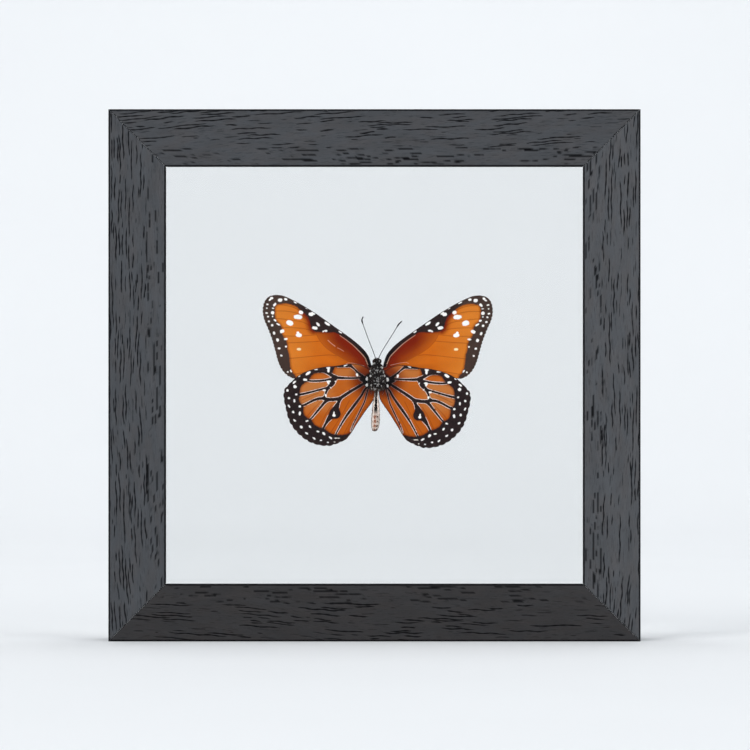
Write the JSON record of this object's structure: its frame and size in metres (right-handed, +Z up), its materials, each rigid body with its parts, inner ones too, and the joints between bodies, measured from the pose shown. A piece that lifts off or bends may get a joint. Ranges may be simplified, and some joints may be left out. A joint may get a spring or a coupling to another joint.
{
  "type": "framed butterfly specimen",
  "caption": "Square black wooden frame holding a spread orange butterfly between clear glass panes, for standing on a shelf or hanging on a wall.",
  "frame": {"origin": "middle of the frame's flat underside, halfway along its width and its depth", "axes": "+X to the viewer's right, +Y away from the viewer through the frame's back, +Z up; the front face looks along -Y"},
  "size_m": [0.1778, 0.0278, 0.1778],
  "materials": {
    "black_wood": "satin black stain over open-grained wood",
    "fillet_wood": "matt black",
    "spacer_board": "matt black",
    "clear_glass": "clear, polished",
    "zinc_steel": "zinc plated",
    "forewing_scales": "orange and black wing scales",
    "hindwing_scales": "tawny and black wing scales",
    "black_scales": "black shell with fine hair",
    "abdomen_scales": "pinkish-white and brown scales",
    "clear_glue": "clear"
  },
  "bodies": {
    "root": {"rail_top": "black_wood", "rail_bottom": "black_wood", "stile_left": "black_wood", "stile_right": "black_wood", "fillet_top": "fillet_wood", "fillet_bottom": "fillet_wood", "fillet_left": "fillet_wood", "fillet_right": "fillet_wood", "spacer_top": "spacer_board", "spacer_bottom": "spacer_board", "spacer_left": "spacer_board", "spacer_right": "spacer_board", "glass_front": "clear_glass", "glass_rear": "clear_glass", "mitre_wedge_1": "zinc_steel", "mitre_wedge_2": "zinc_steel", "mitre_wedge_3": "zinc_steel", "mitre_wedge_4": "zinc_steel", "hanger_plate": "zinc_steel", "hanger_nail_left": "zinc_steel", "hanger_nail_right": "zinc_steel", "forewing_left": "forewing_scales", "forewing_right": "forewing_scales", "hindwing_left": "hindwing_scales", "hindwing_right": "hindwing_scales", "thorax": "black_scales", "head": "black_scales", "palp_left": "black_scales", "palp_right": "black_scales", "proboscis": "black_scales", "antenna_left": "black_scales", "antenna_right": "black_scales", "foreleg_left": "black_scales", "foreleg_right": "black_scales", "midleg_left": "black_scales", "midleg_right": "black_scales", "hindleg_left": "black_scales", "hindleg_right": "black_scales", "abdomen": "abdomen_scales", "glue_drop": "clear_glue"}
  },
  "joints": []
}
